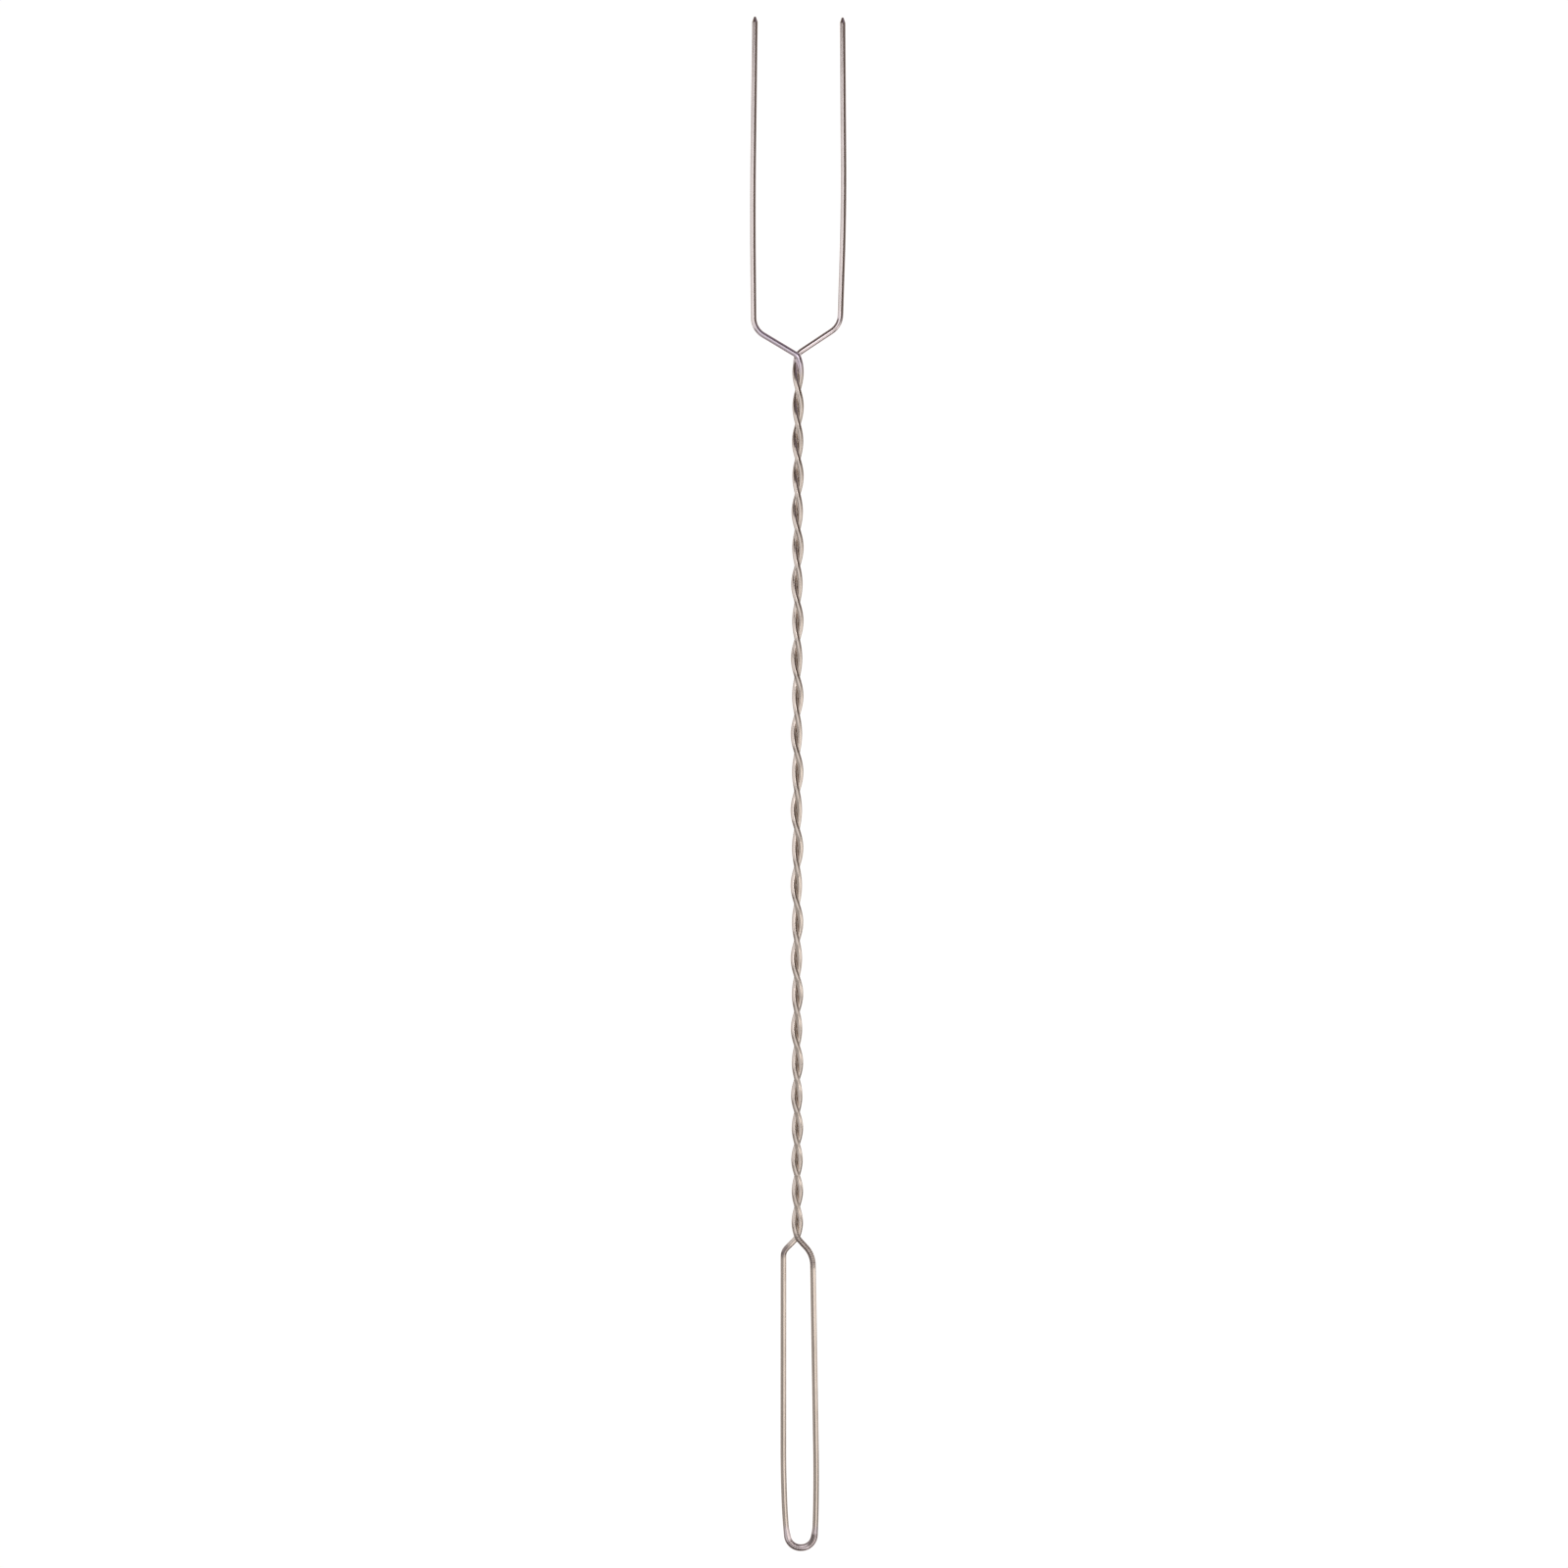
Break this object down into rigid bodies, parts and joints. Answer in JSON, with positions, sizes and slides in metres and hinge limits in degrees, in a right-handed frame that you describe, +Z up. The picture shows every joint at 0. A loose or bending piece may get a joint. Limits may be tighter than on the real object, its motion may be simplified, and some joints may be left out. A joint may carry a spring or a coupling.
{
  "type": "roasting fork",
  "caption": "Long campfire roasting fork bent from bright steel wire: parallel pointed tines, a twisted shaft and a narrow closed grip loop.",
  "frame": {"origin": "on the surface the fork lies on, under the middle of its outline", "axes": "+Y along the shaft towards the points, +X to the right seen from above, +Z up from the surface"},
  "size_m": [0.0576, 0.9144, 0.007],
  "materials": {
    "steel_wire": "bright cold-drawn wire, faint lengthwise draw lines, slightly warm and tarnished"
  },
  "bodies": {
    "root": {"tine_left": "steel_wire", "tine_right": "steel_wire", "shoulder_left": "steel_wire", "shoulder_right": "steel_wire", "strand_left": "steel_wire", "strand_right": "steel_wire", "neck_left": "steel_wire", "neck_right": "steel_wire", "grip_leg_left": "steel_wire", "grip_leg_right": "steel_wire", "grip_end": "steel_wire"}
  },
  "joints": []
}
